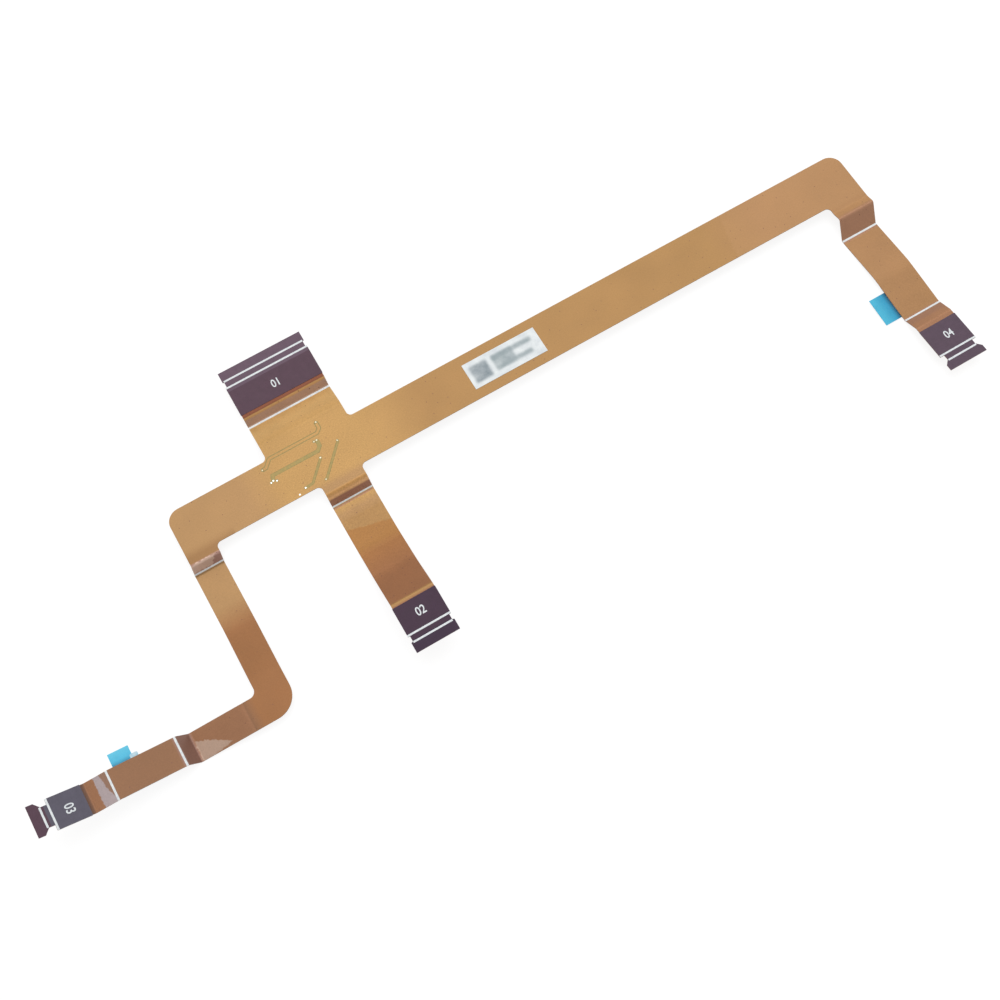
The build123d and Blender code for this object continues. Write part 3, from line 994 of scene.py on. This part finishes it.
@dataclass
class PlugEnd:
    """A stiffened end: its stiffener, contacts, white lines and printed number."""

    name: str
    number: str
    heading: Heading
    text_at: Pair
    text_right: tuple[float, float, float]
    body_tone: Tone
    tip_tone: Tone
    change_at: float
    cap_height: float = 1.95
    letter_squeeze: float = 0.82
    ink_height: float = 0.02

    def print_number(self, ink: Finish) -> None:
        """Model the end's number as raised ink on its tilted face."""
        clear_selection()
        bpy.ops.object.text_add()
        text = bpy.context.object
        text.data.body = self.number
        text.data.align_x = "CENTER"
        text.data.resolution_u = 6
        text.data.extrude = 0.01
        text.data.offset = 0.012
        bpy.ops.object.convert(target="MESH")
        mesh = text.data
        low = Vector([min(v.co[i] for v in mesh.vertices) for i in range(3)])
        high = Vector([max(v.co[i] for v in mesh.vertices) for i in range(3)])
        size = high - low
        middle = (low + high) / 2
        mesh.transform(Matrix.Translation((-middle.x, -middle.y, -low.z)))
        tall = self.cap_height * MM / size.y
        wide = tall * self.letter_squeeze
        thick = self.ink_height * MM / size.z
        mesh.transform(Matrix.Diagonal((wide, tall, thick, 1.0)))
        point, up = upper_face(f"{self.name}_stiffener")
        place_on(text, self.text_at, Vector(self.text_right), point, up)
        bpy.ops.object.mode_set(mode="EDIT")
        bpy.ops.mesh.select_all(action="SELECT")
        bpy.ops.mesh.remove_doubles(threshold=1e-7)
        bpy.ops.mesh.normals_make_consistent(inside=False)
        bpy.ops.object.mode_set(mode="OBJECT")
        settle(text, f"{self.name}_number", ink)

    def build(self, ink: Finish, gold: Finish) -> None:
        """Dress the end's nodes and add its number."""
        # Polyimide stiffener bonded under heat: smooth, half dull, dark plum.
        film = EndFilm(
            f"{self.name}_stiffener_film",
            self.body_tone,
            self.tip_tone,
            grain=1.2,
            roughness=0.42,
            shine=0.25,
            heading=self.heading,
            change_at=self.change_at,
        )
        dress([f"{self.name}_stiffener"], film)
        dress([f"{self.name}_contacts"], gold)
        dress([f"{self.name}_insertion_lines"], ink)
        self.print_number(ink)


@dataclass
class StickyBacking:
    """An adhesive pad on the underside, with its liner and its pull tab."""

    name: str
    heading: Heading
    strip_edge: float
    tab_tones: tuple[Tone, Tone, Tone]
    tongue_at: Pair | None = None
    tongue_size: Pair = (1.7, 1.6)
    tongue_thickness: float = 0.05
    tongue_corner: float = 0.35

    def tongue(self) -> None:
        """Model the corner of the clear liner that sticks out beside the strip."""
        # Clear polyester that borrows the blue of the tab beside it.
        clear = Finish("clear_liner_edge", Tone.CLEAR_BLUE, Tone.CLEAR, roughness=0.35)
        clear_selection()
        bpy.ops.mesh.primitive_plane_add(size=1.0)
        piece = bpy.context.object
        length, width = self.tongue_size
        piece.data.transform(Matrix.Diagonal((length * MM, width * MM, 1.0, 1.0)))
        bpy.ops.object.mode_set(mode="EDIT")
        bpy.ops.mesh.select_all(action="SELECT")
        bpy.ops.mesh.bevel(offset=self.tongue_corner * MM, segments=3, affect="VERTICES")
        bpy.ops.mesh.select_all(action="SELECT")
        down = (0, 0, -self.tongue_thickness * MM)
        bpy.ops.mesh.extrude_region_move(TRANSFORM_OT_translate={"value": down})
        bpy.ops.mesh.select_all(action="SELECT")
        bpy.ops.mesh.normals_make_consistent(inside=False)
        bpy.ops.object.mode_set(mode="OBJECT")
        point, up = upper_face(f"{self.name}_liner")
        place_on(piece, self.tongue_at, Vector((1.0, 0.0, 0.0)), point, up)
        settle(piece, f"{self.name}_liner_tongue", clear)

    def build(self, adhesive: Finish, liner: Finish) -> None:
        """Dress the pad, the liner and the tab."""
        shade, middle, light = self.tab_tones
        # Dyed polyester film: smooth and blue, with painted shade where the strip covers it.
        film = ShadedTabFilm(
            f"{self.name}_tab_film",
            middle,
            light,
            roughness=0.3,
            shine=0.2,
            dark=shade,
            heading=self.heading,
            edge_at=self.strip_edge,
        )
        dress([f"{self.name}_adhesive"], adhesive)
        dress([f"{self.name}_liner"], liner)
        dress([f"{self.name}_pull_tab"], film)
        if self.tongue_at:
            self.tongue()


@dataclass
class Studio:
    """Pale floor, soft lamp, white surroundings and the camera."""

    lens: float = 49.63
    sensor: float = 36.0
    camera_at: tuple[float, float, float] = (-0.03956, -0.11058, 0.27998)
    camera_turn: tuple[float, float, float] = (20.154, 2.432, -30.173)
    lamp_from: tuple[float, float, float] = (0.139, 0.318, 0.938)
    lamp_distance: float = 1.0
    lamp_size: float = 0.9
    lamp_power: float = 4.6
    fill: float = 0.56
    floor_metres: float = 6.0
    floor_glow: float = 0.86
    floor_tone: float = 0.22
    fibre_scale: float = 400.0

    def camera(self) -> None:
        """Stand the camera where the photograph was taken from."""
        data = bpy.data.cameras.new("camera")
        data.lens = self.lens
        data.sensor_width = self.sensor
        camera = bpy.data.objects.new("camera", data)
        camera.location = self.camera_at
        camera.rotation_euler = Euler([math.radians(turn) for turn in self.camera_turn])
        bpy.context.scene.collection.objects.link(camera)
        bpy.context.scene.camera = camera

    def lamp(self) -> None:
        """Hang one large soft lamp where the flat film mirrors it to the camera."""
        data = bpy.data.lights.new("soft_lamp", "AREA")
        data.shape = "SQUARE"
        data.size = self.lamp_size
        data.energy = self.lamp_power
        lamp = bpy.data.objects.new("soft_lamp", data)
        towards = Vector(self.lamp_from).normalized()
        lamp.location = towards * self.lamp_distance
        lamp.rotation_euler = towards.to_track_quat("Z", "Y").to_euler()
        bpy.context.scene.collection.objects.link(lamp)

    def seen_directly(self, tree: Tree) -> Socket:
        """Mask of what the camera sees straight, by reflection or through glass."""
        path = add_node(tree, "ShaderNodeLightPath").outputs
        mirrored = maths(tree, "MAXIMUM", path["Is Glossy Ray"], path["Is Transmission Ray"])
        return maths(tree, "MAXIMUM", path["Is Camera Ray"], mirrored)

    def surroundings(self) -> None:
        """White surroundings that light the cable less than they show."""
        world = bpy.data.worlds.new("studio")
        bpy.context.scene.world = world
        world.use_nodes = True
        tree = world.node_tree
        strength = scaled(tree, self.seen_directly(tree), (0.0, 1.0), (self.fill, 1.0))
        background = tree.nodes["Background"]
        background.inputs["Color"].default_value = (1.0, 1.0, 1.0, 1.0)
        tree.links.new(strength, background.inputs["Strength"])

    def floor(self) -> None:
        """Lay a matt white floor that shows white and keeps the cable's shadow."""
        made = bpy.data.materials.new("white_paper_floor")
        made.use_nodes = True
        tree = made.node_tree
        shader = tree.nodes["Principled BSDF"]
        place = add_node(tree, "ShaderNodeTexCoord").outputs["Object"]
        settings: dict[Any, Any] = {"Scale": self.fibre_scale}
        fibre = add_node(tree, "ShaderNodeTexNoise", settings, {"Vector": place}).outputs[0]
        cool = (self.floor_tone, self.floor_tone, self.floor_tone * 1.02, 1.0)
        warm = (self.floor_tone * 1.01,) * 3 + (1.0,)
        settings = {"data_type": "RGBA", 6: cool, 7: warm}
        lit = add_node(tree, "ShaderNodeMix", settings, {0: fibre})
        tree.links.new(lit.outputs[2], shader.inputs["Base Color"])
        shader.inputs["Roughness"].default_value = 1.0
        shader.inputs["Specular IOR Level"].default_value = 0.0
        glow = maths(tree, "MULTIPLY", self.seen_directly(tree), self.floor_glow)
        shader.inputs["Emission Color"].default_value = (1.0, 1.0, 1.0, 1.0)
        tree.links.new(glow, shader.inputs["Emission Strength"])
        clear_selection()
        bpy.ops.mesh.primitive_plane_add(size=self.floor_metres)
        floor = bpy.context.object
        floor.name = "floor"
        floor.data.materials.append(made)

    def build(self) -> None:
        """Set up the whole studio."""
        self.camera()
        self.lamp()
        self.surroundings()
        self.floor()
        bpy.context.scene.view_settings.view_transform = "Standard"


def main() -> None:
    """Dress the cable, add its fine pieces and set up the studio."""
    logging.basicConfig(level=logging.INFO)
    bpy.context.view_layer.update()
    # Screen-printed white ink: matt and slightly uneven.
    ink = Finish("white_screen_ink", Tone.INK, Tone.PAPER, grain=0.5, roughness=0.55)
    # Gold over nickel on copper, plated: bright yellow metal.
    gold = Finish("gold_plated_contact", Tone.GOLD, Tone.COPPER, roughness=0.25, metallic=1.0)
    # Transfer-coated acrylic adhesive: milky and half glossy.
    adhesive = Finish("acrylic_adhesive", Tone.PAPER, Tone.PRINT_GREY, roughness=0.3)
    # Siliconised polyester release liner: pale, faintly blue and smooth.
    liner = Finish("clear_liner", Tone.CLEAR, Tone.PAPER, grain=1.5, roughness=0.35)
    # Coated label paper, printed grey: white and nearly matt.
    paper = LabelPaper("label_paper_coated", Tone.PAPER, Tone.INK, grain=2.5, roughness=0.5)
    Laminate().build()
    # The same ink; on the two steep flanks only the upper half of the line is printed.
    reader_flank = ((-4.0, -9.1), (-4.0, -9.6), (12.0, -9.6), (12.0, -9.1))
    touchpad_flank = ((30.0, -10.54), (30.0, -11.0), (45.0, -11.0), (45.0, -10.54))
    bare_halves = (
        Patch(Tone.TRUNK_LEFT, reader_flank, 1.0, 0.03),
        Patch(Tone.CROSSING_LIT, touchpad_flank, 1.0, 0.03),
    )
    dress(["folding_lines"], replace(ink, name="folding_line_ink", patches=bare_halves))
    dress(["label"], paper)
    up, down, left = Heading.UP, Heading.DOWN, Heading.LEFT
    plum, grey, ash = Tone.PLUM, Tone.PLUM_GREY, Tone.PLUM_ASH
    dark, tip, slate = Tone.PLUM_DARK, Tone.PLUM_TIP, Tone.SLATE
    across = (1.0, 0.0, 0.0)
    turned = (0.0, -1.0, 0.0)
    ends = [
        PlugEnd("board", "01", up, (35.35, 21.65), across, plum, grey, 24.8),
        PlugEnd("touchpad", "02", down, (37.6, -42.41), across, dark, tip, 47.1),
        PlugEnd("reader", "03", left, (-41.5, -42.37), turned, slate, plum, 45.6),
        PlugEnd("antenna", "04", down, (169.05, -45.73), across, ash, ash, 50.0),
    ]
    for end in ends:
        end.build(ink, gold)
    pale = (Tone.TAB_SHADE, Tone.TAB_SKY, Tone.TAB_PALE)
    deep = (Tone.TAB_DARK, Tone.TAB_MID, Tone.TAB_LIGHT)
    StickyBacking("reader", up, -38.8, pale, (-26.7, -38.6)).build(adhesive, liner)
    StickyBacking("antenna", left, -163.9, deep).build(adhesive, liner)
    Studio().build()


if __name__ == "__main__":
    main()
